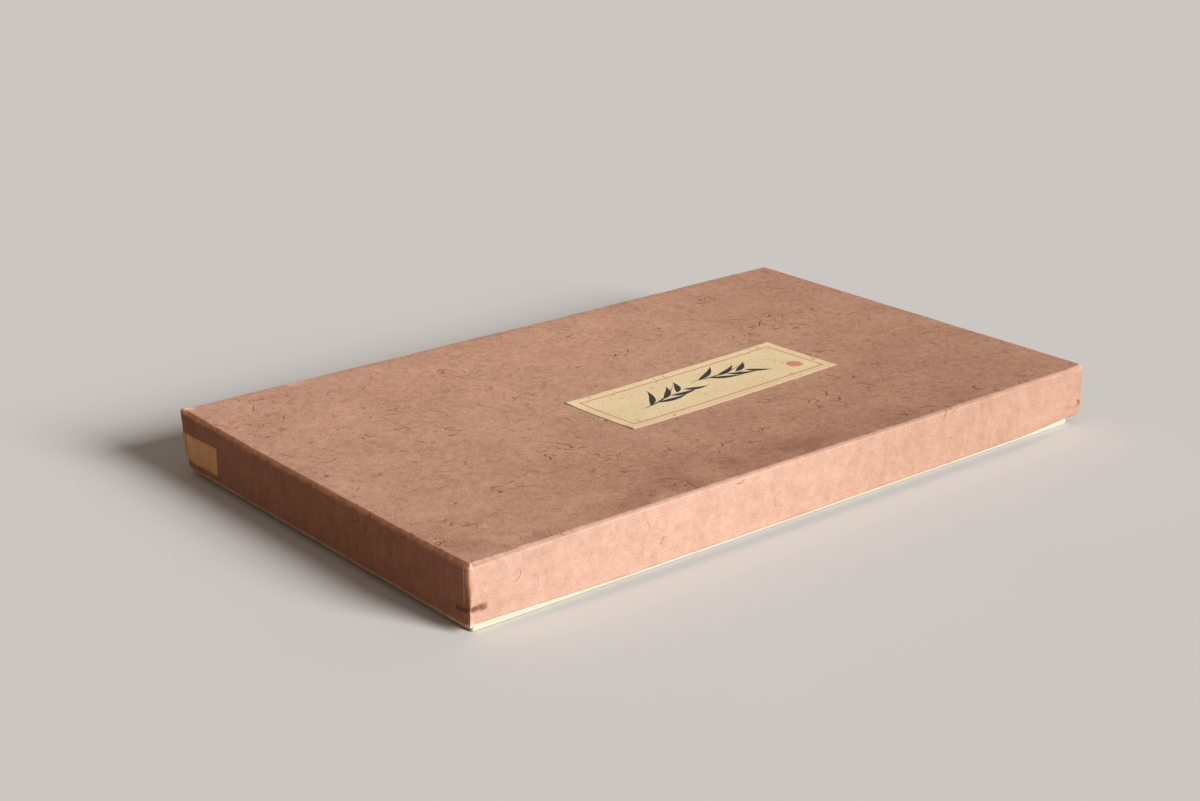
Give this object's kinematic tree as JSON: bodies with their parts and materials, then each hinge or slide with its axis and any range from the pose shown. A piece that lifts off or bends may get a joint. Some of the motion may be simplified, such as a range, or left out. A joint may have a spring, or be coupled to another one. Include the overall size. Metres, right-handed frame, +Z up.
{
  "type": "paperboard storage box",
  "caption": "Shallow rectangular paper-covered board box with a lift-off telescoping lid, a bare title label and a corner sticker, for papers and keepsakes.",
  "frame": {"origin": "on the table under the middle of the closed box", "axes": "+X along the long sides towards the right end, -Y towards the long front side, +Z up"},
  "size_m": [0.3002, 0.1811, 0.0249],
  "materials": {
    "board": "grey-brown pasteboard",
    "lid_paper": "matte brown-pink fibre paper",
    "base_paper": "matte cream paper",
    "lining": "thin uncoated cream paper",
    "label": "aged cream paper with a thin red rule",
    "sticker": "aged tan gummed paper",
    "staple": "rusted flat wire"
  },
  "bodies": {
    "base": {"base_bottom_board": "board", "base_front_board": "board", "base_back_board": "board", "base_left_board": "board", "base_right_board": "board", "base_corner_staples": "staple", "base_cover_paper": "base_paper", "base_lining_paper": "lining", "base_bottom_sheet": "base_paper"},
    "lid": {"lid_top_board": "board", "lid_front_board": "board", "lid_back_board": "board", "lid_left_board": "board", "lid_right_board": "board", "lid_corner_staples": "staple", "lid_cover_paper": "lid_paper", "lid_lining_paper": "lining", "title_label": "label", "corner_sticker": "sticker"}
  },
  "joints": [
    {"name": "lid_lift", "type": "slide", "parent": "base", "child": "lid", "axis": [0, 0, 1], "range_m": [0, 0.06]}
  ]
}
